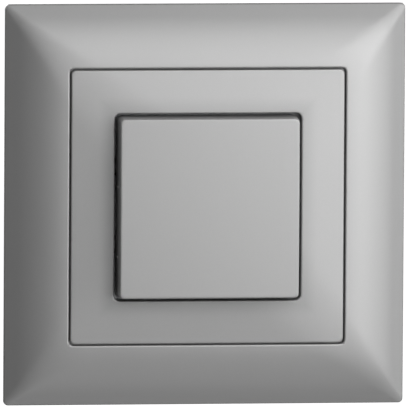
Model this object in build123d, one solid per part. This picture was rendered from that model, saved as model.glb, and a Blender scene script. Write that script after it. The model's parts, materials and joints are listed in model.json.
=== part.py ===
from build123d import *
import os
from math import cos, radians, sin, sqrt, tan

# A flush rocker wall switch: an 88 mm cover frame, a 60 mm centre plate and a rocker key that springs back
# to level, on a steel mounting plate with the contact mechanism behind it in the wall box.
#
# Each piece is drawn lying on its back: X to the right, Y up the wall, Z out of the wall, with Z = 0 on the
# wall surface. The last step stands the piece up, so that the wall surface is the XZ plane, the room is
# towards -Y and up is +Z. Sizes are in millimetres.

# --- Driving dimensions: the front ---
FRAME_HALF = 44.0            # cover frame, 88 x 88
FRAME_EDGE = 1.2             # height of the frame's upright edge
FACET_WIDTH = 2.6            # flat bevel inside that edge
FACET_TILT = radians(34)
SHOULDER_RADIUS = 22.7       # curve from the bevel to the crest
PLATE_TILT = radians(5.5)    # slope of the centre plate's four sides
PLATE_HALF = 30.0            # centre plate, 60 x 60
GROOVE = 0.35                # gap between the frame and the centre plate
OPENING_HALF = 20.55         # key opening, 41.1 x 41.1
CORNER_START = 1.0           # plan radius of the frame's outer corner
CORNER_GROWTH = 0.5          # growth of that radius per mm inwards
SHELL = 1.8                  # wall of the front mouldings

# --- Driving dimensions: the key and its pivot ---
KEY_FACE = 11.6              # height of the key's face
KEY_SKIRT = 4.5              # height of the skirt's lower edge
KEY_TOP_HALF = 19.65
KEY_SKIRT_HALF = 19.92
KEY_CORNER = 0.9
PIVOT_HEIGHT = 2.4
PIN_RADIUS = 1.0
PIN_PLAY = 0.05
TILT = radians(5)            # the key rocks this far each way
PRESS_ARM = 14.0             # from the pivot to each pressing nose
CRADLE_LOW = 5.6             # underside and top of the cradle's plate
CRADLE_TOP = 7.0
NOSE_TIP = 3.2
NOSE_RADIUS = 1.0
NOSE_GAP = 0.03

# --- Driving dimensions: the mechanism ---
STEEL = 1.0                  # mounting plate thickness
STEEL_HALF = 35.5
SCREW_SPACING = 60.0         # wall box screws
SLOT_RADIUS = 1.8
SLOT_LENGTH = 7.0
LUG_INNER = 24.0             # inner face of the bent-up catch lugs
LUG_PLACE = 15.0             # how far each lug stands along its side from the middle
COVER_RADIUS = 26.0          # mechanism cover, inside a 54 mm wall box
COVER_BACK = -2.0
HOUSING_X = 18.0             # half width and half height of the housing
HOUSING_Y = 20.0
HOUSING_CHAMFER = 3.0
HOUSING_BACK = -22.0
WALL = 1.5
CORNER_ROUND = 0.8           # upright corners of the mechanism's mouldings
EDGE_ROUND = 0.45            # their outer edges
PUNCHED_ROUND = 0.2          # rolled-over edge of the punched steel plate
REAR_BACK = -24.4
SCREW_X = 21.5               # mechanism screws
SCREW_Y = 8.5
SHANK_RADIUS = 1.45

# --- Driving dimensions: the contacts and terminals ---
SHEET = 0.8                  # brass strip thickness
BRIDGE_TOP = -7.2
CONTACT_X = 8.5
CONTACT_RADIUS = 1.5
CONTACT_HEIGHT = 1.0
CONTACT_GAP = 1.23           # the plungers move PRESS_ARM * TILT = 1.222 each way
TERMINAL_Y = 9.0
WIRE_X = 12.3
WIRE_RADIUS = 1.3
TAB_X = 13.6                 # inner face of the clamping tab
TAB_LOW = -20.5
RELEASE_X = 9.2
RELEASE_PROUD = 1.0          # how far the release buttons stand out of the back
SPRING_SEAT = -17.5

# Heights that follow from the above.
BRIDGE_LOW = BRIDGE_TOP - SHEET
MOVING_TIP = BRIDGE_LOW - CONTACT_HEIGHT
FIXED_TIP = MOVING_TIP - CONTACT_GAP
STRIP_TOP = FIXED_TIP - CONTACT_HEIGHT
STRIP_LOW = STRIP_TOP - SHEET
PLUNGER_TOP = NOSE_TIP - NOSE_GAP
CARRIER_TOP = -6.5
CARRIER_LOW = -9.2
GROOVE_IN = FRAME_HALF - PLATE_HALF - GROOVE / 2   # from the outer edge to the middle of the groove


# --- Helpers ---
def box(x0, x1, y0, y1, z0, z1):
    """A block between two corners."""
    low = [min(x0, x1), min(y0, y1), min(z0, z1)]
    size = [abs(x1 - x0), abs(y1 - y0), abs(z1 - z0)]
    return Pos(*low) * Box(*size, align=(Align.MIN, Align.MIN, Align.MIN))


def rod(x, y, z0, z1, radius):
    """A round bar along Z."""
    on_base = (Align.CENTER, Align.CENTER, Align.MIN)
    return Pos(x, y, min(z0, z1)) * Cylinder(radius, abs(z1 - z0), align=on_base)


def rod_x(x0, x1, y, z, radius):
    """A round bar along X."""
    bar = Cylinder(radius, abs(x1 - x0), align=(Align.CENTER, Align.CENTER, Align.MIN))
    return Pos(min(x0, x1), y, z) * Rot(0, 90, 0) * bar


def slab(half, corner, z0, z1):
    """A square slab with rounded corners."""
    return extrude(Pos(0, 0, z0) * RectangleRounded(2 * half, 2 * half, corner), z1 - z0)


def taper(half_low, corner_low, z_low, half_high, corner_high, z_high):
    """A square block that narrows from one height to the other."""
    low = Pos(0, 0, z_low) * RectangleRounded(2 * half_low, 2 * half_low, corner_low)
    high = Pos(0, 0, z_high) * RectangleRounded(2 * half_high, 2 * half_high, corner_high)
    return loft([low.face(), high.face()], ruled=True)


def chamfered(half_x, half_y, chamfer_size, z0, z1):
    """A rectangular block with its four upright edges chamfered."""
    block = box(-half_x, half_x, -half_y, half_y, z0, z1)
    return chamfer(block.edges().filter_by(Axis.Z), chamfer_size)


def both_x(solid):
    """The solid and its mirror image on the other side in X."""
    return solid + mirror(solid, Plane.YZ)


def both_y(solid):
    """The solid and its mirror image on the other side in Y."""
    return solid + mirror(solid, Plane.XZ)


def four(solid):
    """The solid in all four quarters."""
    return both_x(both_y(solid))


def around(solid):
    """The solid at each of the four sides."""
    return [Rot(0, 0, 90 * turn) * solid for turn in range(4)]


# --- The cushioned front surface that the frame and the centre plate share ---
def front_height(inset):
    """Height of the front surface at a distance in from the frame's outer edge, midway along a side."""
    if inset <= FACET_WIDTH:
        return FRAME_EDGE + inset * tan(FACET_TILT)
    centre = FACET_WIDTH + SHOULDER_RADIUS * sin(FACET_TILT)
    base = FRAME_EDGE + FACET_WIDTH * tan(FACET_TILT) - SHOULDER_RADIUS * cos(FACET_TILT)
    reach = min(inset, GROOVE_IN)
    crest = base + sqrt(SHOULDER_RADIUS**2 - (centre - reach) ** 2)
    return crest + max(inset - GROOVE_IN, 0) * tan(PLATE_TILT)


def outline(inset):
    """A level line of the front surface: a square whose corners grow rounder inwards."""
    side = 2 * (FRAME_HALF - inset)
    corner = CORNER_START + CORNER_GROWTH * inset
    return (Pos(0, 0, front_height(inset)) * RectangleRounded(side, side, corner)).face()


def cushion():
    """The solid under the front surface, from the wall up."""
    last = FRAME_HALF - OPENING_HALF + 1.0
    shoulder = [FACET_WIDTH + (GROOVE_IN - FACET_WIDTH) * step / 5 for step in range(6)]
    body = slab(FRAME_HALF, CORNER_START, 0, FRAME_EDGE)
    body += loft([outline(0), outline(FACET_WIDTH)], ruled=True)
    body += loft([outline(inset) for inset in shoulder])
    body += loft([outline(GROOVE_IN), outline(last)], ruled=True)
    return body


def screw_head_pockets():
    """Room for the heads of the wall box screws, cut in the frame's inner wall under its ledge."""
    pocket = rod(SCREW_SPACING / 2, 0, STEEL - 0.5, 3.6, 4.1)
    return Compound(children=around(pocket))


def cover_frame(front):
    """The outer frame: a shell with a ledge all round that the centre plate holds down."""
    opening = PLATE_HALF + GROOVE
    ledge_top, ledge_low, ledge_half = 4.9, 3.7, 28.2
    wall_half, foot = opening + 1.65, STEEL + 0.1
    hollow = taper(42.2, 2.0, 0, 42.2, 2.0, 0.3)
    hollow += taper(42.2, 2.0, 0.3, 39.0, 3.0, 2.3)
    hollow += taper(39.0, 3.0, 2.3, 36.0, 4.0, 3.7)
    hollow += taper(36.0, 4.0, 3.7, 33.0, 5.0, 4.5)
    hollow -= slab(wall_half, 2.0, 0, 6.0)
    frame = front - hollow - slab(opening, 1.2, ledge_top, 12.0)
    frame -= slab(ledge_half, 1.0, -1.0, 6.0)
    frame -= slab(opening, 1.2, -1.0, ledge_low)
    frame -= slab(wall_half + 0.5, 2.0, -1.0, foot)
    for place in (-27.0, -9.0, 9.0, 27.0):
        rib = box(wall_half - 0.4, FRAME_HALF - 1.0, place - 0.5, place + 0.5, foot + 0.2, 6.0)
        for turned in around(rib):
            frame += turned & front
    return frame - screw_head_pockets()


def centre_plate(front):
    """The 60 mm plate round the key, with a skirt, a collar, ribs and four snap legs."""
    skirt_low, collar_low = 4.95, 4.0
    under = front_height(FRAME_HALF - PLATE_HALF + 2.0) - SHELL
    plate = front & slab(PLATE_HALF, 1.0, skirt_low, 12.0)
    plate -= slab(PLATE_HALF - 1.4, 0.8, 0, under) - slab(OPENING_HALF + 1.35, 1.6, 0, under)
    plate += slab(OPENING_HALF + 1.35, 1.6, collar_low, under)
    plate -= slab(OPENING_HALF, 1.4, 0, 12.0)
    for place in (-17.0, -6.0, 6.0):
        rib = box(OPENING_HALF + 1.2, 28.0, place - 0.5, place + 0.5, collar_low, under + 0.2)
        for turned in around(rib):
            plate += turned
    leg = box(LUG_INNER - 1.4, LUG_INNER - 0.2, LUG_PLACE - 3.0, LUG_PLACE + 3.0, 2.3, under + 0.2)
    nose = box(LUG_INNER - 0.2, LUG_INNER + 0.7, LUG_PLACE - 2.0, LUG_PLACE + 2.0, 2.95, 4.25)
    nose = chamfer(nose.edges().filter_by(Axis.Y).group_by(Axis.X)[-1].sort_by(Axis.Z)[0], 0.6)
    for turned in around(leg + nose):
        plate += turned
    return plate


# --- The key and the cradle that it clips to ---
def rocker_key():
    """The square key cap: a hollow shell with ribs that sit on the cradle and four clips that hold it."""
    shell = taper(KEY_SKIRT_HALF, KEY_CORNER + 0.1, KEY_SKIRT, KEY_TOP_HALF, KEY_CORNER, KEY_FACE)
    shell = fillet(shell.faces().sort_by(Axis.Z)[-1].edges(), 0.35)
    ceiling = KEY_FACE - 1.6
    inner = KEY_TOP_HALF - 1.4
    key = shell - slab(inner, 0.6, KEY_SKIRT - 1, ceiling)
    for place in (-9.0, 9.0):
        key += box(-inner, inner, place - 0.5, place + 0.5, CRADLE_TOP, ceiling)
        key += box(place - 0.5, place + 0.5, -inner, inner, CRADLE_TOP, ceiling)
    stem = box(12.0, 13.1, 2.5, 6.5, CRADLE_LOW - 0.9, ceiling)
    barb = box(13.1, 13.6, 2.5, 6.5, CRADLE_LOW - 0.9, CRADLE_LOW - 0.05)
    barb = chamfer(barb.edges().filter_by(Axis.Y).group_by(Axis.X)[-1].sort_by(Axis.Z)[0], 0.4)
    key += four(stem + barb)
    guide = box(KEY_TOP_HALF - 0.5, KEY_TOP_HALF + 0.32, 4.3, 4.8, KEY_SKIRT + 0.4, 8.2)
    key += both_x(guide + Pos(0, -15.3, 0) * guide)
    return key


def rocker_cradle():
    """The pivoting carrier under the key, with two bearing ears and two pressing noses."""
    plate = box(-16.5, 16.5, -17.0, 17.0, CRADLE_LOW, CRADLE_TOP)
    plate = fillet(plate.edges().filter_by(Axis.Z), 2.0)
    plate -= four(box(11.9, 13.8, 2.3, 6.7, 0, 9.0))
    opening = fillet(box(-7, 7, 3, 9, 0, 9).edges().filter_by(Axis.Z), 1.0)
    plate -= both_y(opening)
    ear = box(13.6, 15.4, -3.2, 3.2, PIVOT_HEIGHT, CRADLE_LOW)
    ear += rod_x(13.6, 15.4, 0, PIVOT_HEIGHT, 2.1)
    ear -= rod_x(13.0, 16.0, 0, PIVOT_HEIGHT, PIN_RADIUS + PIN_PLAY)
    nose_axis = NOSE_TIP + NOSE_RADIUS
    nose = box(-2.4, 2.4, PRESS_ARM - NOSE_RADIUS, PRESS_ARM + NOSE_RADIUS, nose_axis, CRADLE_LOW)
    nose += rod_x(-2.4, 2.4, PRESS_ARM, nose_axis, NOSE_RADIUS)
    rim = box(-16.5, 16.5, 15.8, 17.0, CRADLE_TOP, CRADLE_TOP + 1.2) - both_x(box(8.3, 9.7, 15, 18, 6, 9))
    return plate + both_x(ear) + both_y(nose) + both_y(rim)


def pivot_pin():
    """The steel pin that the cradle rocks on."""
    pin = rod_x(-15.6, 15.6, 0, PIVOT_HEIGHT, PIN_RADIUS)
    return chamfer(pin.edges().filter_by(GeomType.CIRCLE), 0.2)


# --- The steel mounting plate and what is screwed to it ---
def slot(x, y, along_x):
    """A wall box screw slot through the mounting plate."""
    shape = SlotOverall(SLOT_LENGTH, 2 * SLOT_RADIUS)
    turned = shape if along_x else Rot(0, 0, 90) * shape
    return extrude(Pos(x, y, -1) * turned, STEEL + 2)


def mounting_plate():
    """A pressed steel plate with slots for the wall box, a window for the mechanism and four catch lugs."""
    half = SCREW_SPACING / 2
    plate = slab(STEEL_HALF, 5.0, 0, STEEL)
    plate = fillet(plate.faces().sort_by(Axis.Z)[0].edges(), PUNCHED_ROUND)
    window = fillet(box(-16.6, 16.6, -17.6, 17.6, -1, 2).edges().filter_by(Axis.Z), 1.5)
    plate -= window
    plate -= slot(half, 0, True) + slot(-half, 0, True) + slot(0, half, False) + slot(0, -half, False)
    plate -= four(rod(SCREW_X, SCREW_Y, -1, 2, 1.6))
    notch = box(STEEL_HALF - 1.6, STEEL_HALF + 1, -14.0, -10.0, -1, 2)
    lug_out = LUG_INNER + STEEL
    bent_from = box(lug_out + 0.1, lug_out + 4.4, LUG_PLACE - 4.2, LUG_PLACE + 4.2, -1, 2)
    lug = box(LUG_INNER, lug_out, LUG_PLACE - 4.0, LUG_PLACE + 4.0, STEEL, 5.0)
    lug = fillet(lug.edges().filter_by(Axis.X).group_by(Axis.Z)[-1], 1.0)
    lug -= box(LUG_INNER - 1, lug_out + 1, LUG_PLACE - 2.4, LUG_PLACE + 2.4, 2.7, 4.3)
    bead = fillet(box(26.4, 27.6, -26.0, -12.0, STEEL, STEEL + 0.5).edges().filter_by(Axis.Z), 0.55)
    for turn in range(4):
        place = Rot(0, 0, 90 * turn)
        plate -= place * notch
        plate -= place * bent_from
        plate += place * lug
        plate += place * bead
    return plate


def mechanism_screws():
    """Four pan head screws, from the mounting plate into the housing's side lugs."""
    head = rod(SCREW_X, SCREW_Y, STEEL, STEEL + 1.9, 2.5)
    head = fillet(head.edges().group_by(Axis.Z)[-1], 0.8)
    cross = box(SCREW_X - 1.4, SCREW_X + 1.4, SCREW_Y - 0.3, SCREW_Y + 0.3, STEEL + 0.9, STEEL + 3)
    cross += box(SCREW_X - 0.3, SCREW_X + 0.3, SCREW_Y - 1.4, SCREW_Y + 1.4, STEEL + 0.9, STEEL + 3)
    screw = head - cross + rod(SCREW_X, SCREW_Y, -7.0, STEEL, SHANK_RADIUS)
    return four(screw)


def mechanism_cover():
    """The mechanism's moulded front: a round flange with bearing posts, plunger guides and stop pedestals."""
    cover = rod(0, 0, COVER_BACK, 0, COVER_RADIUS)
    cover = fillet(cover.edges().group_by(Axis.Z)[0], EDGE_ROUND)
    rim = chamfered(HOUSING_X - WALL - 0.1, HOUSING_Y - WALL - 0.1, 2.3, COVER_BACK - 1.2, COVER_BACK)
    rim -= chamfered(HOUSING_X - WALL - 1.3, HOUSING_Y - WALL - 1.3, 2.0, COVER_BACK - 2, COVER_BACK)
    post = box(10.4, 13.2, -3.0, 3.0, 0, 4.6)
    post = fillet(post.edges().filter_by(Axis.X).group_by(Axis.Z)[-1], 1.6)
    post += box(11.2, 12.4, -6.0, 6.0, 0, 1.6)
    collar = box(-4.5, 4.5, PRESS_ARM - 3.2, PRESS_ARM + 3.2, COVER_BACK - 2.5, 1.4)
    collar = fillet(collar.edges().filter_by(Axis.Z), 0.8)
    pedestal = box(7.0, 11.0, 14.9, 16.9, 0, 3.6)
    cover += rim + both_x(post) + both_y(collar) + four(pedestal)
    guide = box(-3.1, 3.1, PRESS_ARM - 1.9, PRESS_ARM + 1.9, -10, 5)
    cover -= both_y(fillet(guide.edges().filter_by(Axis.Z), 0.5))
    cover -= rod_x(-17, 17, 0, PIVOT_HEIGHT, PIN_RADIUS)
    return cover - four(rod(SCREW_X, SCREW_Y, -5, 2, 1.6))


def end_stop_pads():
    """Four rubber pads that quieten the cradle at each end of its travel."""
    pad = box(7.0, 11.0, 14.9, 16.9, 3.6, 4.05)
    return four(fillet(pad.edges().filter_by(Axis.Z), 0.4))


def housing_base():
    """The body of the mechanism: a rectangular tube with walls round each contact and terminal."""
    inner_x, inner_y = HOUSING_X - WALL, HOUSING_Y - WALL
    housing = chamfered(HOUSING_X, HOUSING_Y, HOUSING_CHAMFER, HOUSING_BACK, COVER_BACK)
    housing = fillet(housing.edges().filter_by(Axis.Z), CORNER_ROUND)
    hollow = chamfered(inner_x, inner_y, HOUSING_CHAMFER - 0.6, HOUSING_BACK - 1, COVER_BACK + 1)
    well = box(-6.0, 6.0, 9.7, inner_y + 0.5, HOUSING_BACK, -12.5)
    well -= box(-5.2, 5.2, 10.5, inner_y, SPRING_SEAT, 0)
    well -= box(-5.2, 5.2, 10.5, inner_y, HOUSING_BACK - 1, SPRING_SEAT - 1.5)
    well += rod(0, PRESS_ARM, SPRING_SEAT - 0.1, SPRING_SEAT + 1.6, 1.7)
    anchor = box(5.2, 6.0, 4.6, 9.8, HOUSING_BACK, -12.5)
    divider = box(5.9, inner_x + 0.5, 4.6, 5.4, HOUSING_BACK, -12.5)
    ledge = box(5.9, inner_x + 0.5, 13.2, 14.4, HOUSING_BACK, STRIP_LOW)
    barrier = box(-6.0, inner_x + 0.5, -0.6, 0.6, HOUSING_BACK, -3.4)
    barrier -= box(-7, -5.2, -1, 1, -12.5, 0)
    web = box(-6.0, -5.2, -4.7, 4.7, HOUSING_BACK, -12.5)
    lug = box(17.5, 24.0, -11.5, 11.5, -8.0, COVER_BACK)
    lug = fillet(lug.edges().filter_by(Axis.Z).group_by(Axis.X)[-1], 2.5)
    lug &= rod(0, 0, -9, 0, COVER_RADIUS - 0.3)
    lug = fillet(lug.edges().group_by(Axis.Z)[0], EDGE_ROUND)
    lug -= box(18.0, 30, -5.0, 5.0, -9.0, -3.5)
    walls = both_y(well) + four(anchor + divider + ledge) + barrier + web
    tab_slot = box(-TAB_X - SHEET - 0.1, -TAB_X + 0.1, -12.6, 12.6, TAB_LOW - 0.1, 0)
    catch = box(-4.2, 4.2, HOUSING_Y - 0.8, HOUSING_Y + 1, -17.2, -15.75)
    housing = housing - hollow + (walls - tab_slot) + both_x(lug) - both_y(catch)
    return housing - four(rod(SCREW_X, SCREW_Y, -7.2, 0, SHANK_RADIUS))


def rear_cover():
    """The plate that closes the back, with wire entries, windows for the buttons and two snap hooks."""
    plate = chamfered(HOUSING_X, HOUSING_Y, HOUSING_CHAMFER, REAR_BACK, HOUSING_BACK)
    plate = fillet(plate.edges().filter_by(Axis.Z), CORNER_ROUND)
    plate = fillet(plate.faces().sort_by(Axis.Z)[0].edges(), EDGE_ROUND)
    wire = rod(WIRE_X, TERMINAL_Y, REAR_BACK - 1, HOUSING_BACK + 1, WIRE_RADIUS)
    funnel = Pos(WIRE_X, TERMINAL_Y, REAR_BACK + 0.35) * Cone(
        WIRE_RADIUS + 0.5, WIRE_RADIUS, 0.7, align=(Align.CENTER, Align.CENTER, Align.CENTER)
    )
    window = box(RELEASE_X - 0.9, RELEASE_X + 0.9, TERMINAL_Y - 2.1, TERMINAL_Y + 2.1, REAR_BACK - 1, 0)
    plate -= four(wire + funnel + window)
    hook = box(-4.0, 4.0, HOUSING_Y, HOUSING_Y + 1.0, REAR_BACK + 0.4, -15.0)
    barb = box(-4.0, 4.0, HOUSING_Y - 0.7, HOUSING_Y, -17.0, -15.8)
    root = box(-4.0, 4.0, HOUSING_Y - 1.0, HOUSING_Y + 1.0, REAR_BACK + 0.4, HOUSING_BACK)
    return plate + both_y(hook + barb + root)


# --- Plungers and contacts ---
def plunger():
    """A pressed stem that carries the contact bridge through its lower block."""
    stem = box(-3.0, 3.0, PRESS_ARM - 1.8, PRESS_ARM + 1.8, CARRIER_TOP, PLUNGER_TOP)
    stem = fillet(stem.edges().filter_by(Axis.Z), 0.4)
    block = box(-3.5, 3.5, PRESS_ARM - 2.6, PRESS_ARM + 2.6, CARRIER_LOW, CARRIER_TOP)
    block -= box(-4, 4, PRESS_ARM - 2.0, PRESS_ARM + 2.0, BRIDGE_LOW, BRIDGE_TOP)
    return stem + block + rod(0, PRESS_ARM, CARRIER_LOW - 1.8, CARRIER_LOW, 1.2)


def contact_bridge():
    """The brass bar that joins a pair of fixed contacts."""
    bar = box(-10.6, 10.6, PRESS_ARM - 2.0, PRESS_ARM + 2.0, BRIDGE_LOW, BRIDGE_TOP)
    return fillet(bar.edges().filter_by(Axis.Z), 1.2)


def contact_tip(x, z_face, z_base):
    """A silver contact button with a rounded face."""
    button = rod(x, PRESS_ARM, z_face, z_base, CONTACT_RADIUS)
    face = button.edges().filter_by(GeomType.CIRCLE).sort_by(Axis.Z)[0 if z_face < z_base else -1]
    return fillet(face, 0.3)


def moving_contacts():
    return both_x(contact_tip(CONTACT_X, MOVING_TIP, BRIDGE_LOW))


def plunger_spring():
    """The coil under a plunger, between its block and the seat in the housing, with closed ends."""
    coil_radius, wire_radius, turns = 2.15, 0.22, 6
    low, high = SPRING_SEAT + wire_radius, CARRIER_LOW - wire_radius
    helix = Helix(pitch=(high - low) / turns, height=high - low, radius=coil_radius)
    profile = Plane(origin=helix @ 0, z_dir=helix % 0) * Circle(wire_radius)
    coil = sweep(profile, path=helix)
    ring_low = Pos(0, 0, 0) * Torus(coil_radius, wire_radius)
    ring_high = Pos(0, 0, high - low) * Torus(coil_radius, wire_radius)
    return Pos(0, PRESS_ARM, low) * (coil + ring_low + ring_high)


def common_strip():
    """The brass strip of the shared terminal: one contact ledge for both contacts, one tab for two wires."""
    ledge = box(-TAB_X - SHEET, -6.6, -16.0, 16.0, STRIP_LOW, STRIP_TOP)
    ledge -= box(-9.5, -6, -11.0, 11.0, STRIP_LOW - 1, STRIP_TOP + 1)
    tab = box(-TAB_X - SHEET, -TAB_X, -12.5, 12.5, TAB_LOW, STRIP_TOP)
    return ledge + tab


def load_strip():
    """The brass strip of one output: a contact ledge and a tab for the wire."""
    ledge = box(6.6, TAB_X + SHEET, 5.6, 16.0, STRIP_LOW, STRIP_TOP)
    tab = box(TAB_X, TAB_X + SHEET, 5.6, 12.5, TAB_LOW, STRIP_TOP)
    return ledge + tab


def fixed_contact(x):
    return contact_tip(x, FIXED_TIP, STRIP_TOP)


def clamp_spring():
    """A bent leaf that grips a pushed-in wire against the tab, until the release button lifts it."""
    route = FilletPolyline((6.25, -13.0), (6.25, -21.5), (8.0, -21.5), (13.4, -14.5), radius=0.8)
    leaf = Plane.XZ * make_face(offset(route, 0.2, kind=Kind.TANGENT))
    return Pos(0, TERMINAL_Y + 2.4, 0) * extrude(leaf, 4.8)


def release_button():
    """The push button beside a wire entry, kept in by its shoulders."""
    x0, x1, y0, y1 = RELEASE_X - 0.85, RELEASE_X + 0.85, TERMINAL_Y - 2.0, TERMINAL_Y + 2.0
    stem = box(x0, x1, y0, y1, REAR_BACK - RELEASE_PROUD, -21.5)
    stem = chamfer(stem.faces().sort_by(Axis.Z)[0].edges(), 0.3)
    shoulder = box(x0, x1, y0 - 0.8, y1 + 0.8, HOUSING_BACK, -21.5)
    return stem + shoulder + box(9.3, x1, y0, y1, -21.5, -20.2)


# --- The nodes ---
def nodes():
    """Every piece by its node name, lying on its back."""
    front = cushion()
    right, left = clamp_spring(), mirror(clamp_spring(), Plane.YZ)
    button = release_button()
    flip = Plane.XZ
    return {
        "cover_frame": cover_frame(front),
        "centre_plate": centre_plate(front),
        "rocker_key": rocker_key(),
        "rocker_cradle": rocker_cradle(),
        "pivot_pin": pivot_pin(),
        "mounting_plate": mounting_plate(),
        "mechanism_screws": mechanism_screws(),
        "mechanism_cover": mechanism_cover(),
        "end_stop_pads": end_stop_pads(),
        "housing_base": housing_base(),
        "rear_cover": rear_cover(),
        "upper_plunger": plunger(),
        "lower_plunger": mirror(plunger(), flip),
        "upper_contact_bridge": contact_bridge(),
        "lower_contact_bridge": mirror(contact_bridge(), flip),
        "upper_moving_contacts": moving_contacts(),
        "lower_moving_contacts": mirror(moving_contacts(), flip),
        "upper_plunger_spring": plunger_spring(),
        "lower_plunger_spring": mirror(plunger_spring(), flip),
        "common_strip": common_strip(),
        "upper_load_strip": load_strip(),
        "lower_load_strip": mirror(load_strip(), flip),
        "common_fixed_contacts": both_y(fixed_contact(-CONTACT_X)),
        "upper_fixed_contact": fixed_contact(CONTACT_X),
        "lower_fixed_contact": mirror(fixed_contact(CONTACT_X), flip),
        "clamp_spring_common_upper": left,
        "clamp_spring_common_lower": mirror(left, flip),
        "clamp_spring_load_upper": right,
        "clamp_spring_load_lower": mirror(right, flip),
        "release_button_common_upper": mirror(button, Plane.YZ),
        "release_button_common_lower": mirror(mirror(button, Plane.YZ), flip),
        "release_button_load_upper": button,
        "release_button_load_lower": mirror(button, flip),
    }


os.makedirs("parts", exist_ok=True)
for name, piece in nodes().items():
    standing = Rot(90, 0, 0) * piece
    export_step(standing, f"parts/{name}.step")
    size = standing.bounding_box().size
    print(f"{name}: {len(standing.solids())} solids, {size.X:.1f} x {size.Y:.1f} x {size.Z:.1f} mm")
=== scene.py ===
# %% [markdown]
# # A rocker wall switch, finished in Blender
# The switch is already built as an exact model: a square cover frame, a square plate inside it, a rocker key,
# and the contact mechanism behind them. Here the three visible mouldings are made again as fine, smooth
# meshes with small rounded edges, the springs get meshes of their own, and every piece gets a finish.
# The first cell loads the exact model as a fixed frame.

import json
from math import cos, pi, radians, sin, sqrt, tan

import bmesh
import bpy
from mathutils import Matrix, Vector


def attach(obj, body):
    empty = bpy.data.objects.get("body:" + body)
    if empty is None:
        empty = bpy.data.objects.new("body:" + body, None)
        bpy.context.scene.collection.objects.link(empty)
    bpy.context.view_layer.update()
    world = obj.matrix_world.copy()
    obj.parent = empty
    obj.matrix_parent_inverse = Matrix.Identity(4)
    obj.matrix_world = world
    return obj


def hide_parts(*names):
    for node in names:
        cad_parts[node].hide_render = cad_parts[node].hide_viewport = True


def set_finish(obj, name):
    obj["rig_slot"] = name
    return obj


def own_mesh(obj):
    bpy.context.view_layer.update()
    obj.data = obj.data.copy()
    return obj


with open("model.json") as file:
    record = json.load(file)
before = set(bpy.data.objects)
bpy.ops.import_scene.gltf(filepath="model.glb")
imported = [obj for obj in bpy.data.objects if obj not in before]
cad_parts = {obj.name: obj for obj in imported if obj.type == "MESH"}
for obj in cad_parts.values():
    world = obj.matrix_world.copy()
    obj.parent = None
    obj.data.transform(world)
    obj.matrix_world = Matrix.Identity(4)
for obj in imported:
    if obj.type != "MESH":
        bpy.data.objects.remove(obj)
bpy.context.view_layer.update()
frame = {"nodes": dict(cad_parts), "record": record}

# %% [markdown]
# ## Sizes
# The mouldings are modelled in millimetres, lying on their back: X to the right, Y up the wall and Z out of
# the wall, with Z = 0 on the wall. One matrix, `STAND_UP`, scales them to metres and stands them up at the
# end. The numbers are the switch's own: its outline, the slopes of its cushioned front, and its heights.

# %% The front's sizes
STAND_UP = Matrix.Rotation(pi / 2, 4, "X") @ Matrix.Scale(0.001, 4)
FRAME_HALF = 44.0
FRAME_EDGE = 1.2
BEVEL_WIDTH = 2.6
BEVEL_TILT = radians(34)
SHOULDER_RADIUS = 22.7
PLATE_TILT = radians(5.5)
PLATE_HALF = 30.0
GROOVE = 0.35
OPENING_HALF = 20.55
GROOVE_IN = FRAME_HALF - PLATE_HALF - GROOVE / 2
MITRE_CORNER = 1.0
MITRE_GROWTH = 0.5
KEY_FACE = 11.6
KEY_SKIRT = 4.5
KEY_TOP_HALF = 19.65
KEY_SKIRT_HALF = 19.92

# %% [markdown]
# ## The cushioned front
# The frame and the plate share one surface, as if a pillow had been pressed in a square mould: a flat bevel
# rises from the edge, a wide curve turns it level, and the plate climbs gently to the key. Where two sides
# meet, a real mould has a soft mitre that starts sharp at the outer corner and grows rounder inwards.
# A boolean of four curved prisms would give a hard mitre, and a subdivision surface would round the bevel
# away. So the height is a formula: `side_height` gives it along one side, and `inset_at` says how far in a
# point counts when the level lines are squares with growing corner radii.

# %% The height of the front
def side_height(inset):
    """Height of the front at a distance in from the outer edge, midway along a side."""
    if inset <= BEVEL_WIDTH:
        return FRAME_EDGE + inset * tan(BEVEL_TILT)
    centre = BEVEL_WIDTH + SHOULDER_RADIUS * sin(BEVEL_TILT)
    base = FRAME_EDGE + BEVEL_WIDTH * tan(BEVEL_TILT) - SHOULDER_RADIUS * cos(BEVEL_TILT)
    crest = base + sqrt(SHOULDER_RADIUS**2 - (centre - min(inset, GROOVE_IN)) ** 2)
    return crest + max(inset - GROOVE_IN, 0) * tan(PLATE_TILT)


def inset_at(x, y):
    """How far in a point is, on level lines whose corner radius starts small and grows inwards."""
    straight = FRAME_HALF - max(abs(x), abs(y))
    a, b = abs(x) - FRAME_HALF + MITRE_CORNER, abs(y) - FRAME_HALF + MITRE_CORNER
    slide = 1 + MITRE_GROWTH
    square = 2 * slide**2 - MITRE_GROWTH**2
    linear = 2 * slide * (a + b) - 2 * MITRE_CORNER * MITRE_GROWTH
    rest = a * a + b * b - MITRE_CORNER**2
    turned = (-linear + sqrt(max(linear**2 - 4 * square * rest, 0))) / (2 * square)
    in_corner = min(a, b) + slide * turned > 0
    return turned if in_corner else straight


def front_height(x, y):
    """Height of the cushioned front above the wall at a point."""
    return side_height(max(inset_at(x, y), 0))


print("front heights, mm:", [round(front_height(w, 0), 2) for w in (44, 41.4, 36, 30.2, 20.6)])

# %% [markdown]
# ## Rings
# Every square moulding here is a stack of rounded squares: a ring of points is drawn once, then extruded and
# moved again and again along the moulding's cross-section. This is how a loft works, and it keeps each edge
# exact. The first ring comes from one square face whose corners are bevelled, with its sides subdivided and
# the new points gathered towards the corners, where the surface bends most.

# %% Ring tools
SIDE_CUTS = 47
CORNER_STEPS = 8


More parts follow.
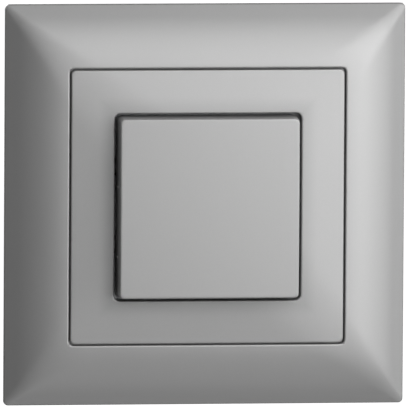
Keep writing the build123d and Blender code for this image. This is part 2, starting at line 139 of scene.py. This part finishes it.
def first_ring(bm, half, corner):
    """A rounded square of points without a face; returns its vertices."""
    square = bmesh.ops.create_grid(bm, x_segments=1, y_segments=1, size=half)["verts"]
    bmesh.ops.bevel(
        bm, geom=square, offset=corner, segments=CORNER_STEPS, profile=0.5, affect="VERTICES", material=-1
    )
    sides = [edge for edge in bm.edges if edge.calc_length() > half]
    bmesh.ops.subdivide_edges(bm, edges=sides, cuts=SIDE_CUTS)
    straight = half - corner
    for vert in bm.verts:
        for axis in (0, 1):
            if abs(vert.co[axis]) < straight:
                vert.co[axis] = straight * sin(vert.co[axis] / straight * pi / 2)
    bmesh.ops.delete(bm, geom=bm.faces[:], context="FACES_ONLY")
    return bm.verts[:]


def drawn_to(vert, old, new, height):
    """Moves a point of a ring from one rounded square, (half, corner), to another, and to a height."""
    for axis in (0, 1):
        sign, reach = (-1 if vert.co[axis] < 0 else 1), abs(vert.co[axis])
        straight, new_straight = old[0] - old[1], new[0] - new[1]
        if reach <= straight:
            reach *= new_straight / straight
        else:
            reach = new_straight + (reach - straight) * new[1] / old[1]
        vert.co[axis] = sign * reach
    vert.co.z = height(vert.co.x, vert.co.y) if callable(height) else height


def ring_stack(bm, section, closed):
    """Extrudes a ring through a cross-section of (half, corner, height) steps; returns its two end loops."""
    half, corner, height = section[0]
    verts = first_ring(bm, half, corner)
    for vert in verts:
        drawn_to(vert, (half, corner), (half, corner), height)
    first = last = bm.edges[:]
    for step in section[1:]:
        made = bmesh.ops.extrude_edge_only(bm, edges=last)["geom"]
        last = [item for item in made if isinstance(item, bmesh.types.BMEdge)]
        ring = [item for item in made if isinstance(item, bmesh.types.BMVert)]
        fresh = set(ring)
        last = [edge for edge in last if fresh.issuperset(edge.verts)]
        for vert in ring:
            drawn_to(vert, (half, corner), step[:2], step[2])
        half, corner = step[:2]
    if closed:
        bmesh.ops.bridge_loops(bm, edges=first + last)
    return first, last


def block(bm, x0, x1, y0, y1, z0, z1, bevel=0.0):
    """A rectangular block between two corners, with its edges bevelled if asked."""
    place = Matrix.Translation(((x0 + x1) / 2, (y0 + y1) / 2, (z0 + z1) / 2))
    size = Matrix.Diagonal((abs(x1 - x0), abs(y1 - y0), abs(z1 - z0), 1))
    verts = bmesh.ops.create_cube(bm, size=1.0, matrix=place @ size)["verts"]
    if bevel:
        edges = list({edge for vert in verts for edge in vert.link_edges})
        made = bmesh.ops.bevel(
            bm, geom=edges, offset=bevel, segments=2, profile=0.5, affect="EDGES", material=-1
        )
        verts = made["verts"]
    return verts


def settle(bm, name, body, slot, nodes, sharp=32):
    """Closes a mesh's seams, turns its faces outwards, stands it up and hands it to the frame as a piece."""
    bmesh.ops.remove_doubles(bm, verts=bm.verts, dist=0.0005)
    bmesh.ops.recalc_face_normals(bm, faces=bm.faces)
    bmesh.ops.transform(bm, matrix=STAND_UP, verts=bm.verts)
    mesh = bpy.data.meshes.new(name)
    bm.to_mesh(mesh)
    bm.free()
    mesh.shade_smooth()
    mesh.set_sharp_from_angle(angle=radians(sharp))
    piece = bpy.data.objects.new(name, mesh)
    bpy.context.scene.collection.objects.link(piece)
    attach(piece, body)
    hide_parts(*nodes)
    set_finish(piece, slot)
    print(name, len(mesh.polygons), "faces")
    return piece


def rounded_step(centre, corner, turn, radius, steps):
    """The points of a small round in a cross-section, about its centre, from the first angle to the last."""
    (half, height), (first, last) = centre, turn
    points = []
    for step in range(steps + 1):
        angle = first + (last - first) * step / steps
        points.append((half + radius * cos(angle), corner, height + radius * sin(angle)))
    return points


# %% [markdown]
# ## The cover frame
# The frame is one injection moulding with a wall of about 2 mm. Its cross-section is a closed loop: up the
# outer edge, over the cushioned front, down into the groove, round the ledge that carries the centre plate,
# and back through the hollow. So the whole frame is one ring stack, closed on itself. The outer edge and the
# lip at the groove get small rounds, because a knife edge catches no light and looks like paper. Four ribs
# stiffen each side from behind.

# %% Build the cover frame
LIP = 0.36
EDGE_ROUND = 0.35
WALL_BREAK = 0.15
LEDGE_HALF = 28.2
LEDGE_TOP, LEDGE_UNDER = 4.9, 3.7
RIM_HALF = 42.2
RIB_PLACES = (-27.0, -9.0, 9.0, 27.0)
RIB_WIDTH = 1.0
RIB_OUTLINE = [(31.6, 1.4), (41.0, 1.4), (39.0, 2.8), (36.0, 4.2), (33.0, 5.0), (31.6, 5.0)]


def front_ring(half, corner, drop=0.0):
    """A ring that lies on the cushioned front, or a drop below it."""
    return (half, corner, lambda x, y: front_height(x, y) - drop)


def spaced(first, last, count):
    """Evenly spaced numbers from first to last, both included."""
    return [first + (last - first) * step / (count - 1) for step in range(count)]


frame_hole = PLATE_HALF + GROOVE
edge_top = FRAME_EDGE - EDGE_ROUND * tan((pi / 2 - BEVEL_TILT) / 2)
section = [(FRAME_HALF - WALL_BREAK, 1.0, 0.0), (FRAME_HALF, 1.0, WALL_BREAK)]
section += [(FRAME_HALF, 1.0, edge_top / 2)]
section += rounded_step((FRAME_HALF - EDGE_ROUND, edge_top), 1.0, (0, pi / 2 - BEVEL_TILT), EDGE_ROUND, 5)
section += [front_ring(half, 1.05) for half in spaced(43.6, 41.5, 7)]
section += [front_ring(half, 1.1) for half in spaced(41.3, frame_hole + LIP + 0.1, 26)]
for step in range(6):
    angle = pi / 2 * (1 + step / 5)
    section.append(front_ring(frame_hole + LIP + LIP * cos(angle), 1.2, LIP * (1 - sin(angle))))
section += [(frame_hole, 1.2, LEDGE_TOP), (LEDGE_HALF, 1.0, LEDGE_TOP)]
section += [(LEDGE_HALF, 1.0, LEDGE_UNDER), (frame_hole, 1.2, LEDGE_UNDER)]
section += [(frame_hole, 1.2, 1.1), (32.0, 2.0, 1.1), (32.0, 2.0, 4.5), (33.0, 5.0, 4.5), (36.0, 4.0, 3.7)]
section += [(39.0, 3.0, 2.3), (RIM_HALF, 2.0, 0.3), (RIM_HALF, 2.0, 0.0)]

bm = bmesh.new()
ring_stack(bm, section, closed=True)
for turn in range(4):
    rotation = Matrix.Rotation(turn * pi / 2, 3, "Z")
    along = rotation @ Vector((0, RIB_WIDTH, 0))
    for place in RIB_PLACES:
        corners = [bm.verts.new((half, place - RIB_WIDTH / 2, height)) for half, height in RIB_OUTLINE]
        outline = bm.faces.new(corners)
        bmesh.ops.rotate(bm, verts=corners, cent=(0, 0, 0), matrix=rotation)
        grown = bmesh.ops.extrude_face_region(bm, geom=[outline])["geom"]
        far_side = [item for item in grown if isinstance(item, bmesh.types.BMVert)]
        bmesh.ops.translate(bm, verts=far_side, vec=along)
cover_frame = settle(bm, "cover_frame_moulding", "base", "silver_grey_plastic", ["cover_frame"])

# %% [markdown]
# ## The centre plate
# The plate carries on the same surface inside the groove, then turns down into a collar round the key. It is
# built as a second ring stack. The four snap legs and the stiffening ribs underneath are plain blocks.

# %% Build the centre plate
PLATE_ROUND = 0.26
COLLAR_ROUND = 0.3
PLATE_WALL = 1.8
PLATE_REST = 4.95
SKIRT_HALF = 28.6
COLLAR_OUT = 21.9
COLLAR_FOOT = 4.0
plate_under = side_height(FRAME_HALF - PLATE_HALF + 2.0) - PLATE_WALL
section = [(PLATE_HALF, 1.0, PLATE_REST)]
for step in range(6):
    angle = pi / 2 * step / 5
    half = PLATE_HALF - PLATE_ROUND * (1 - cos(angle))
    section.append(front_ring(half, 1.0, PLATE_ROUND * (1 - sin(angle))))
section += [front_ring(half, 1.0) for half in spaced(29.6, OPENING_HALF + COLLAR_ROUND + 0.15, 16)]
for step in range(6):
    angle = pi / 2 * step / 5
    half = OPENING_HALF + COLLAR_ROUND * (1 - sin(angle))
    section.append(front_ring(half, 1.4, COLLAR_ROUND * (1 - cos(angle))))
section += [(OPENING_HALF, 1.4, COLLAR_FOOT), (COLLAR_OUT, 1.6, COLLAR_FOOT), (COLLAR_OUT, 1.6, plate_under)]
section += [(SKIRT_HALF, 0.8, plate_under), (SKIRT_HALF, 0.8, PLATE_REST)]
bm = bmesh.new()
ring_stack(bm, section, closed=True)
for turn in range(4):
    rotation = Matrix.Rotation(turn * pi / 2, 3, "Z")
    fresh = []
    for place in (-17.0, -6.0, 6.0):
        fresh += block(bm, 21.7, 28.0, place - 0.5, place + 0.5, COLLAR_FOOT, plate_under + 0.3)
    fresh += block(bm, 22.6, 23.8, 12.0, 18.0, 2.3, plate_under + 0.3, bevel=0.15)
    fresh += block(bm, 23.7, 24.7, 13.0, 17.0, 2.95, 4.25, bevel=0.15)
    bmesh.ops.rotate(bm, verts=fresh, cent=(0, 0, 0), matrix=rotation)
centre_plate = settle(bm, "centre_plate_moulding", "base", "silver_grey_plastic", ["centre_plate"])

# %% [markdown]
# ## The rocker key
# The key cap is a shallow box with a slight draft on its sides and a small round along its top edge. It is a
# ring stack that starts inside, at the ceiling, goes down and round the skirt, up the outside and over the
# top edge, and ends in the face. The face is very slightly domed, so that light slides over it: `CROWN` is
# how far it has fallen at the middle of each side. Its ribs stand on the cradle and its four clips go through
# it; the small upright guides on its sides show in the gap beside it.

# %% Build the rocker key
KEY_ROUND = 0.3
KEY_BREAK = 0.15
CROWN = 0.15
INNER = 18.25
CEILING = 10.0
RIB_FOOT = 7.0
IN_CEILING = CEILING + 0.1


def crowned(drop):
    """A height on the key's slightly domed face, or a drop below it."""
    return lambda x, y: KEY_FACE - drop - CROWN * (x * x + y * y) / KEY_TOP_HALF**2


section = [(INNER, 0.6, CEILING), (INNER, 0.6, KEY_SKIRT + 0.1), (INNER + 0.1, 0.7, KEY_SKIRT)]
section += [(KEY_SKIRT_HALF - KEY_BREAK, 0.95, KEY_SKIRT), (KEY_SKIRT_HALF, 1.0, KEY_SKIRT + KEY_BREAK)]
draft = (KEY_SKIRT_HALF - KEY_TOP_HALF) / (KEY_FACE - KEY_SKIRT)
section += [(KEY_SKIRT_HALF - draft * rise, 0.95, KEY_SKIRT + rise) for rise in (2.0, 4.0, 6.0)]
edge = rounded_step((KEY_TOP_HALF - KEY_ROUND, KEY_FACE - KEY_ROUND), 0.9, (0, pi / 2), KEY_ROUND, 6)
section += [(half, corner, crowned(KEY_FACE - height)) for half, corner, height in edge]
section += [(KEY_TOP_HALF - inset, 0.6, crowned(0)) for inset in (0.6, 1.5, 3, 5, 7.5, 10, 13, 16, 18)]
bm = bmesh.new()
inside, face = ring_stack(bm, section, closed=False)
bmesh.ops.contextual_create(bm, geom=inside)
bmesh.ops.contextual_create(bm, geom=face)
for place in (-9.0, 9.0):
    block(bm, -INNER - 0.1, INNER + 0.1, place - 0.5, place + 0.5, RIB_FOOT, IN_CEILING)
    block(bm, place - 0.5, place + 0.5, -INNER - 0.1, INNER + 0.1, RIB_FOOT, IN_CEILING)
for side in (-1, 1):
    for end in (-1, 1):
        block(bm, side * 12.0, side * 13.1, end * 2.5, end * 6.5, 4.7, IN_CEILING, bevel=0.12)
        block(bm, side * 13.0, side * 13.6, end * 2.5, end * 6.5, 4.7, 5.5, bevel=0.12)
    for place in (4.55, -10.75):
        block(bm, side * 19.3, side * 19.95, place - 0.25, place + 0.25, 4.9, 8.2, bevel=0.08)
rocker_key = settle(bm, "rocker_key_cap", "rocker", "silver_grey_plastic", ["rocker_key"])

# %% [markdown]
# ## Springs
# Two coils push the plungers forward, and four bent leaves grip the wires. Both change shape in use: a coil
# shortens along its axis, and a leaf's free leg is drawn towards its fixed one. Each is built as a mesh of
# its own. A coil is a small circle spun round an axis while it climbs, with its end turns wound close. A leaf
# is a bent line with rounded corners, pulled to its width and given a thickness.

# %% Build the plunger springs
COIL_RADIUS = 2.15
COIL_WIRE = 0.22
COIL_LOW, COIL_HIGH = -17.5, -9.2
OPEN_TURNS = 5
STEPS_A_TURN = 28
PLUNGER_Y = 14.0


def plunger_spring(name, side):
    """A closed-end coil under one plunger."""
    bm = bmesh.new()
    upright = Matrix.Translation((COIL_RADIUS, 0, 0)) @ Matrix.Rotation(pi / 2, 4, "X")
    bmesh.ops.create_circle(bm, cap_ends=True, radius=COIL_WIRE, segments=10, matrix=upright)
    end_pitch = 2 * COIL_WIRE + 0.03
    open_pitch = (COIL_HIGH - COIL_LOW - 2 * COIL_WIRE - 2 * end_pitch) / OPEN_TURNS
    tip = bm.faces[:]
    for turns, pitch in ((1, end_pitch), (OPEN_TURNS, open_pitch), (1, end_pitch)):
        last = bmesh.ops.spin(
            bm, geom=tip, cent=(0, 0, 0), axis=(0, 0, 1), angle=2 * pi * turns, steps=STEPS_A_TURN * turns,
            dvec=(0, 0, pitch / STEPS_A_TURN), use_merge=False, use_duplicate=False,
        )["geom_last"]
        tip = [item for item in last if isinstance(item, bmesh.types.BMFace)]
    bmesh.ops.translate(bm, verts=bm.verts, vec=(0, side * PLUNGER_Y, COIL_LOW + COIL_WIRE))
    coil = settle(bm, name + "_coil", "base", "spring_steel", [name], sharp=60)
    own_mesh(coil)
    return coil


springs = [plunger_spring("upper_plunger_spring", 1), plunger_spring("lower_plunger_spring", -1)]

# %% Build the clamp springs
LEAF_LINE = [(6.25, -13.0), (6.25, -21.5), (8.0, -21.5), (13.4, -14.5)]
LEAF_WIDTH = 4.8
LEAF_THICKNESS = 0.4
LEAF_BEND = 0.7
TERMINAL_Y = 9.0


def clamp_spring(place, x_side, y_side):
    """A bent leaf whose free leg grips a wire against its brass tab."""
    bm = bmesh.new()
    start = y_side * TERMINAL_Y - LEAF_WIDTH / 2
    points = [bm.verts.new((x_side * x, start, z)) for x, z in LEAF_LINE]
    for pair in zip(points, points[1:]):
        bm.edges.new(pair)
    bends = points[1:3]
    bmesh.ops.bevel(bm, geom=bends, offset=LEAF_BEND, segments=6, profile=0.5, affect="VERTICES", material=-1)
    pulled = bmesh.ops.extrude_edge_only(bm, edges=bm.edges[:])["geom"]
    far = [item for item in pulled if isinstance(item, bmesh.types.BMVert)]
    bmesh.ops.translate(bm, verts=far, vec=(0, LEAF_WIDTH, 0))
    node = f"clamp_spring_{place}"
    leaf = settle(bm, node + "_leaf", "base", "spring_steel", [node], sharp=60)
    wall = leaf.modifiers.new("thickness", "SOLIDIFY")
    wall.thickness = LEAF_THICKNESS / 1000
    wall.offset = 0
    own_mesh(leaf)
    return leaf


for place, x_side, y_side in (
    ("load_upper", 1, 1), ("load_lower", 1, -1), ("common_upper", -1, 1), ("common_lower", -1, -1)
):
    springs.append(clamp_spring(place, x_side, y_side))

# %% [markdown]
# ## Finishes
# Every finish is made of nodes, so it has no edge and no resolution. To keep the maths readable, a `Signal`
# wraps a node's output, and Python's own operators add the Math nodes. A `Finish` starts from the standard
# shader, holds the constants on its own sockets, and gives one method that adds any other node.

# %% Node tools
class Signal:
    """The output of a node, in an expression."""

    def __init__(self, finish, socket):
        self.finish = finish
        self.socket = socket

    def _math(self, operation, first, second):
        return self.finish.add("ShaderNodeMath", {"operation": operation}, {0: first, 1: second})

    def __add__(self, other):
        return self._math("ADD", self, other)

    def __radd__(self, other):
        return self._math("ADD", other, self)

    def __sub__(self, other):
        return self._math("SUBTRACT", self, other)

    def __rsub__(self, other):
        return self._math("SUBTRACT", other, self)

    def __mul__(self, other):
        return self._math("MULTIPLY", self, other)

    def __pow__(self, other):
        return self._math("POWER", self, other)

    def __abs__(self):
        return self._math("ABSOLUTE", self, 0)

    def or_more(self, other):
        """The larger of two signals."""
        return self._math("MAXIMUM", self, other)

    def ramp(self, low, high):
        """Runs smoothly from 0 to 1 as the signal runs from low to high."""
        settings = {"interpolation_type": "SMOOTHSTEP"}
        return self.finish.add("ShaderNodeMapRange", settings, {0: self, "From Min": low, "From Max": high})


class Finish:
    """A material in the making: its node tree, its shader and the nodes that feed it."""

    def __init__(self, name, constants):
        self.material = bpy.data.materials.new(name)
        self.material.use_nodes = True
        self.tree = self.material.node_tree
        self.shader = self.tree.nodes["Principled BSDF"]
        self.place = self.add("ShaderNodeTexCoord", {}, {}, "Object")
        for socket, value in constants.items():
            self.shader.inputs[socket].default_value = value

    def link(self, value, socket):
        """Sets a socket to a number, or links it to a signal."""
        if isinstance(value, Signal):
            self.tree.links.new(value.socket, socket)
        else:
            socket.default_value = value

    def add(self, kind, settings, inputs, output=0):
        """Adds a node, sets it up and returns one of its outputs as a signal."""
        node = self.tree.nodes.new(kind)
        for key, value in settings.items():
            setattr(node, key, value)
        for key, value in inputs.items():
            self.link(value, node.inputs[key])
        return Signal(self, node.outputs[output])

    def noise(self, scale, detail, stretch=(1, 1, 1)):
        """Soft cloudy noise, centred on 0.5, with its features sized in 1/scale metres."""
        place = self.add("ShaderNodeMapping", {}, {"Vector": self.place, "Scale": stretch})
        return self.add("ShaderNodeTexNoise", {}, {"Vector": place, "Scale": scale, "Detail": detail})

    def cells(self, scale):
        """Grains of random colour, sized in 1/scale metres."""
        return self.add("ShaderNodeTexVoronoi", {}, {"Vector": self.place, "Scale": scale}, "Color")

    def between(self, mask, low, high):
        """A colour that runs from low to high as the mask runs from 0 to 1."""
        inputs = {"Factor": mask, 6: (*low, 1), 7: (*high, 1)}
        return self.add("ShaderNodeMix", {"data_type": "RGBA"}, inputs, 2)

    def bump(self, height, strength, distance):
        """Feeds the shader a relief; distance is in metres."""
        relief = {"Height": height, "Strength": strength, "Distance": distance}
        normal = self.add("ShaderNodeBump", {}, relief)
        self.link(normal, self.shader.inputs["Normal"])

    def colour(self, value):
        """Feeds the shader its colour."""
        self.link(value, self.shader.inputs["Base Color"])

    def roughness(self, value):
        """Feeds the shader its roughness."""
        self.link(value, self.shader.inputs["Roughness"])


# %% [markdown]
# ## The silver-grey lacquer
# The front is moulded plastic under a satin metallic lacquer. Such a lacquer holds flakes far finer than a
# hair, so it looks even, but its highlights sparkle a little and roll off softly. A plain grey shader would
# look like putty. Half of the shader is metal, the flakes are random grains that move the roughness and the
# grey by a few percent, and a faint bump gives the skin its very fine orange peel.
#
# Three narrow bands are painted darker, as painted shade: the plate's border round the key, the groove's
# walls and the frame's outer wall. This painted shade deepens the contact shadows there as a choice of look.
# It is not a known property of the coat, and with the three shares at 0 the finish is even. All of them
# follow one signal, which says how far a point is from the middle, square-wise.

# %% Make the lacquer
LACQUER_GREY = 0.46
LACQUER_ROUGHNESS = 0.44
KEY_BORDER_SHADE = 0.15
KEY_BORDER_END = 24.5
GROOVE_SHADE = 0.4
OUTER_WALL_SHADE = 0.35
lacquer = Finish("silver_grey_lacquer", {"Metallic": 0.5, "IOR": 1.45})
flakes = lacquer.cells(9000)
cloud = lacquer.noise(60, 3)
grain = lacquer.add("ShaderNodeSeparateColor", {}, {0: flakes}, 0)
across = lacquer.add("ShaderNodeSeparateXYZ", {}, {0: lacquer.place}, 0)
upward = lacquer.add("ShaderNodeSeparateXYZ", {}, {0: lacquer.place}, 2)
from_middle = abs(across).or_more(abs(upward))


def reached(start, end):
    """Runs from 0 to 1 between two distances from the middle, in millimetres."""
    return from_middle.ramp(start / 1000, end / 1000)


# Masks of painted shade: the plate's border round the key, the groove's walls and the frame's outer wall are
# darkened to deepen their contact shadows.
gap, opening = OPENING_HALF - 0.45, OPENING_HALF + 0.05
painted_key_shade = reached(gap, gap + 0.2) * (1 - reached(opening, KEY_BORDER_END))
inner_side = reached(PLATE_HALF - 0.07, PLATE_HALF - 0.02)
painted_groove_shade = inner_side * (1 - reached(frame_hole + 0.02, frame_hole + 0.07))
painted_wall_shade = reached(FRAME_HALF - 0.3, FRAME_HALF)
tone = (grain - 0.5) * 0.020 + (cloud - 0.5) * 0.012 + LACQUER_GREY
# Painted shade: each mask darkens the grey by its share.
at_key = 1 - painted_key_shade * KEY_BORDER_SHADE
at_edge = 1 - painted_wall_shade * OUTER_WALL_SHADE
in_groove = 1 - painted_groove_shade * GROOVE_SHADE
grey = tone * at_key * at_edge * in_groove
lacquer.colour(lacquer.add("ShaderNodeCombineColor", {}, {0: grey, 1: grey, 2: grey}))
lacquer.roughness(LACQUER_ROUGHNESS + (grain - 0.5) * 0.06 + (cloud - 0.5) * 0.05)
lacquer.bump(lacquer.noise(3500, 2), 0.05, 0.00002)

# %% [markdown]
# ## Moulded plastics
# The mechanism is moulded in plain coloured plastics. Spark-eroded moulds leave a fine, even grain, which
# is a tight noise in the bump; the flow of the melt leaves slow changes in gloss. One function makes them
# all, from two close shades, a roughness and the height of the grain.

# %% Make the plastics
def moulded(name, dark, light, roughness, grain_depth, gloss=0.5):
    """A moulded plastic with a spark-eroded grain."""
    plastic = Finish(name, {"Metallic": 0.0, "IOR": 1.5, "Specular IOR Level": gloss})
    flow = plastic.noise(90, 4)
    grain = plastic.noise(4200, 2)
    plastic.colour(plastic.between(flow * 0.7 + grain * 0.3, dark, light))
    plastic.roughness(roughness + (flow - 0.5) * 0.16)
    plastic.bump(grain, 0.35, grain_depth)
    return plastic


black_plastic = moulded("black_moulding", (0.016, 0.016, 0.018), (0.030, 0.030, 0.033), 0.48, 0.00006)
grey_plastic = moulded("grey_moulding", (0.30, 0.31, 0.32), (0.37, 0.38, 0.39), 0.55, 0.00008)
white_plastic = moulded("white_moulding", (0.72, 0.72, 0.70), (0.80, 0.80, 0.78), 0.42, 0.00004)
orange_plastic = moulded("orange_moulding", (0.70, 0.17, 0.015), (0.82, 0.24, 0.03), 0.40, 0.00004)
rubber = moulded("rubber_pad", (0.018, 0.018, 0.018), (0.034, 0.034, 0.034), 0.82, 0.00010, 0.25)

# %% [markdown]
# ## Metals
# The mounting plate is rolled steel with a bright zinc coat: it shows a faint rolling direction, soft patches
# where the coat took differently, and small scuffs. Pins, screws and springs are drawn or turned, so their
# marks run along them. Brass strip is warmer, with darker handling marks. One function stretches noise along
# an axis for the marks, and keeps it weak, because strong streaks look like wood.

# %% Make the metals
def drawn_metal(name, dark, light, roughness, stretch, marks=0.12):
    """A rolled, drawn or turned metal with marks along one direction."""
    metal = Finish(name, {"Metallic": 1.0})
    streaks = metal.noise(900, 3, stretch)
    patch = metal.noise(45, 3)
    scuff = metal.noise(420, 5) ** 5.0
    metal.colour(metal.between(streaks * 0.35 + patch * 0.65 - scuff, dark, light))
    metal.roughness(roughness + (streaks - 0.5) * marks + (patch - 0.5) * 0.22 + scuff)
    metal.bump(streaks, 0.25, 0.00003)
    return metal


zinc_plate = drawn_metal("zinc_plated_sheet", (0.42, 0.43, 0.44), (0.66, 0.67, 0.68), 0.36, (0.06, 1, 1))
zinc_steel = drawn_metal("plated_steel", (0.44, 0.44, 0.45), (0.70, 0.70, 0.71), 0.28, (1, 0.1, 1))
spring_steel = drawn_metal("spring_steel", (0.36, 0.36, 0.37), (0.60, 0.60, 0.61), 0.24, (1, 0.2, 1))
silver_tip = drawn_metal("contact_silver", (0.70, 0.69, 0.66), (0.86, 0.85, 0.82), 0.26, (1, 1, 1), 0.2)
brass_strip = drawn_metal("brass_strip", (0.56, 0.38, 0.15), (0.80, 0.60, 0.29), 0.30, (1, 1, 0.08))

# %% [markdown]
# ## Dressing the pieces
# The record names a material slot for every node. The table below gives each slot its finish, and the same
# table dresses the new pieces, so that nothing is left with a plain colour.

# %% Give every piece its finish
FINISH_OF_SLOT = {
    "silver_grey_plastic": lacquer,
    "black_plastic": black_plastic,
    "grey_plastic": grey_plastic,
    "white_plastic": white_plastic,
    "orange_plastic": orange_plastic,
    "steel": zinc_steel,
    "zinc_steel": zinc_plate,
    "spring_steel": spring_steel,
    "silver": silver_tip,
    "brass": brass_strip,
    "rubber": rubber,
}
slot_of_node = {part["node"]: part["material_slot"] for part in frame["record"]["subparts"]}


def dress(piece, slot):
    """Leaves a piece with the one material of its slot."""
    piece.data.materials.clear()
    piece.data.materials.append(FINISH_OF_SLOT[slot].material)


for node, piece in frame["nodes"].items():
    dress(piece, slot_of_node[node])
for piece in [cover_frame, centre_plate, rocker_key, *springs]:
    dress(piece, piece["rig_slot"])
print("dressed", len(frame["nodes"]) + 3 + len(springs), "pieces")

# %% [markdown]
# ## Light
# Satin grey shows its shape only through uneven light. The two soft lights that reach the front most strongly
# stand on the right, and make the right slopes bright. Those above are weaker and those below are weakest.
# None stands on the left in front, so the left slopes fall off. Two at the back show the mechanism. Each
# light is a row in a table: its name, its azimuth and elevation in degrees, its distance and size in metres,
# and its power in watts.

# %% Place the lights
LIGHTS = [
    ("front_soft", 0, 5, 0.35, 0.25, 0.05),
    ("key_right", 25, 5, 0.35, 0.25, 0.35),
    ("side_right", 50, 5, 0.35, 0.25, 0.30),
    ("upper", 0, 30, 0.35, 0.25, 0.15),
    ("upper_right", 25, 55, 0.35, 0.25, 0.15),
    ("wide_upper", 25, 30, 0.90, 0.60, 1.0),
    ("wide_right", 75, 5, 0.90, 0.60, 0.6),
    ("low", 0, -45, 0.35, 0.25, 0.05),
    ("floor_bounce", -10, -72, 0.35, 0.25, 0.05),
    ("low_right", 75, -45, 0.35, 0.25, 0.05),
    ("back_left", 215, 30, 0.80, 0.80, 7.0),
    ("back_right", 135, 15, 0.80, 0.50, 3.0),
]


def area_light(name, azimuth, elevation, distance, size, power):
    """Adds a square soft light that looks at the switch; azimuth 0 is in front and 90 is to the right."""
    data = bpy.data.lights.new(name, "AREA")
    data.size, data.energy = size, power
    light = bpy.data.objects.new(name, data)
    bpy.context.scene.collection.objects.link(light)
    a, e = radians(azimuth), radians(elevation)
    outward = Vector((sin(a) * cos(e), -cos(a) * cos(e), sin(e)))
    light.location = outward * distance
    light.rotation_euler = (-outward).to_track_quat("-Z", "Y").to_euler()
    light.visible_camera = False


for row in LIGHTS:
    area_light(*row)
print("lights:", len(LIGHTS))

# %% [markdown]
# ## Floor, background and camera
# The switch is shown on its own, as in a catalogue, over a plain pale floor that lies well below it so that
# no shadow reaches the picture. The world is white to the camera and gives only a little even light. The
# camera stands a few degrees to the left and above, with a very long lens, so that parallel edges stay
# parallel; the small roll shares out the slant that such a view gives to level lines.

# %% Floor and world
FLOOR_Z = -0.6
FLOOR_HALF = 15.0
AMBIENT = 0.1
floor_mesh = bpy.data.meshes.new("studio_floor")
bm = bmesh.new()
bmesh.ops.create_grid(bm, x_segments=1, y_segments=1, size=FLOOR_HALF)
bmesh.ops.translate(bm, verts=bm.verts, vec=(0, 0, FLOOR_Z))
bm.to_mesh(floor_mesh)
bm.free()
floor = bpy.data.objects.new("studio_floor", floor_mesh)
bpy.context.scene.collection.objects.link(floor)
paper = Finish("white_paper", {"Base Color": (0.9, 0.9, 0.9, 1), "Roughness": 0.9, "Emission Strength": 1.0})
paper.shader.inputs["Emission Color"].default_value = (1, 1, 1, 1)
floor.data.materials.append(paper.material)
floor.visible_diffuse = False
floor.visible_glossy = False

world = bpy.data.worlds.new("studio")
bpy.context.scene.world = world
world.use_nodes = True
tree = world.node_tree
seen = tree.nodes.new("ShaderNodeLightPath")
shade = tree.nodes.new("ShaderNodeMix")
shade.inputs[2].default_value = AMBIENT
shade.inputs[3].default_value = 1.0
tree.links.new(seen.outputs["Is Camera Ray"], shade.inputs["Factor"])
tree.nodes["Background"].inputs["Color"].default_value = (1, 1, 1, 1)
tree.links.new(shade.outputs[0], tree.nodes["Background"].inputs["Strength"])
bpy.context.scene.view_settings.view_transform = "Standard"

# %% Camera
SENSOR_WIDTH = 36
CAMERA_DISTANCE = 2.9
VIEW_FROM = Vector((-0.12, -1.0, 0.103))
AIM = Vector((-0.00021, -0.001, 0.00013))
FIELD = 0.0890
ROLL = radians(0.345)
camera_data = bpy.data.cameras.new("camera")
camera_data.sensor_width = SENSOR_WIDTH
camera_data.lens = SENSOR_WIDTH * (VIEW_FROM.length * CAMERA_DISTANCE) / FIELD
camera_data.clip_start, camera_data.clip_end = 0.1, 100
camera = bpy.data.objects.new("camera", camera_data)
bpy.context.scene.collection.objects.link(camera)
camera.location = AIM + VIEW_FROM * CAMERA_DISTANCE
look = (-VIEW_FROM).to_track_quat("-Z", "Y").to_matrix().to_4x4()
camera.rotation_euler = (look @ Matrix.Rotation(ROLL, 4, "Z")).to_euler()
bpy.context.scene.camera = camera
print("lens, mm:", round(camera_data.lens))
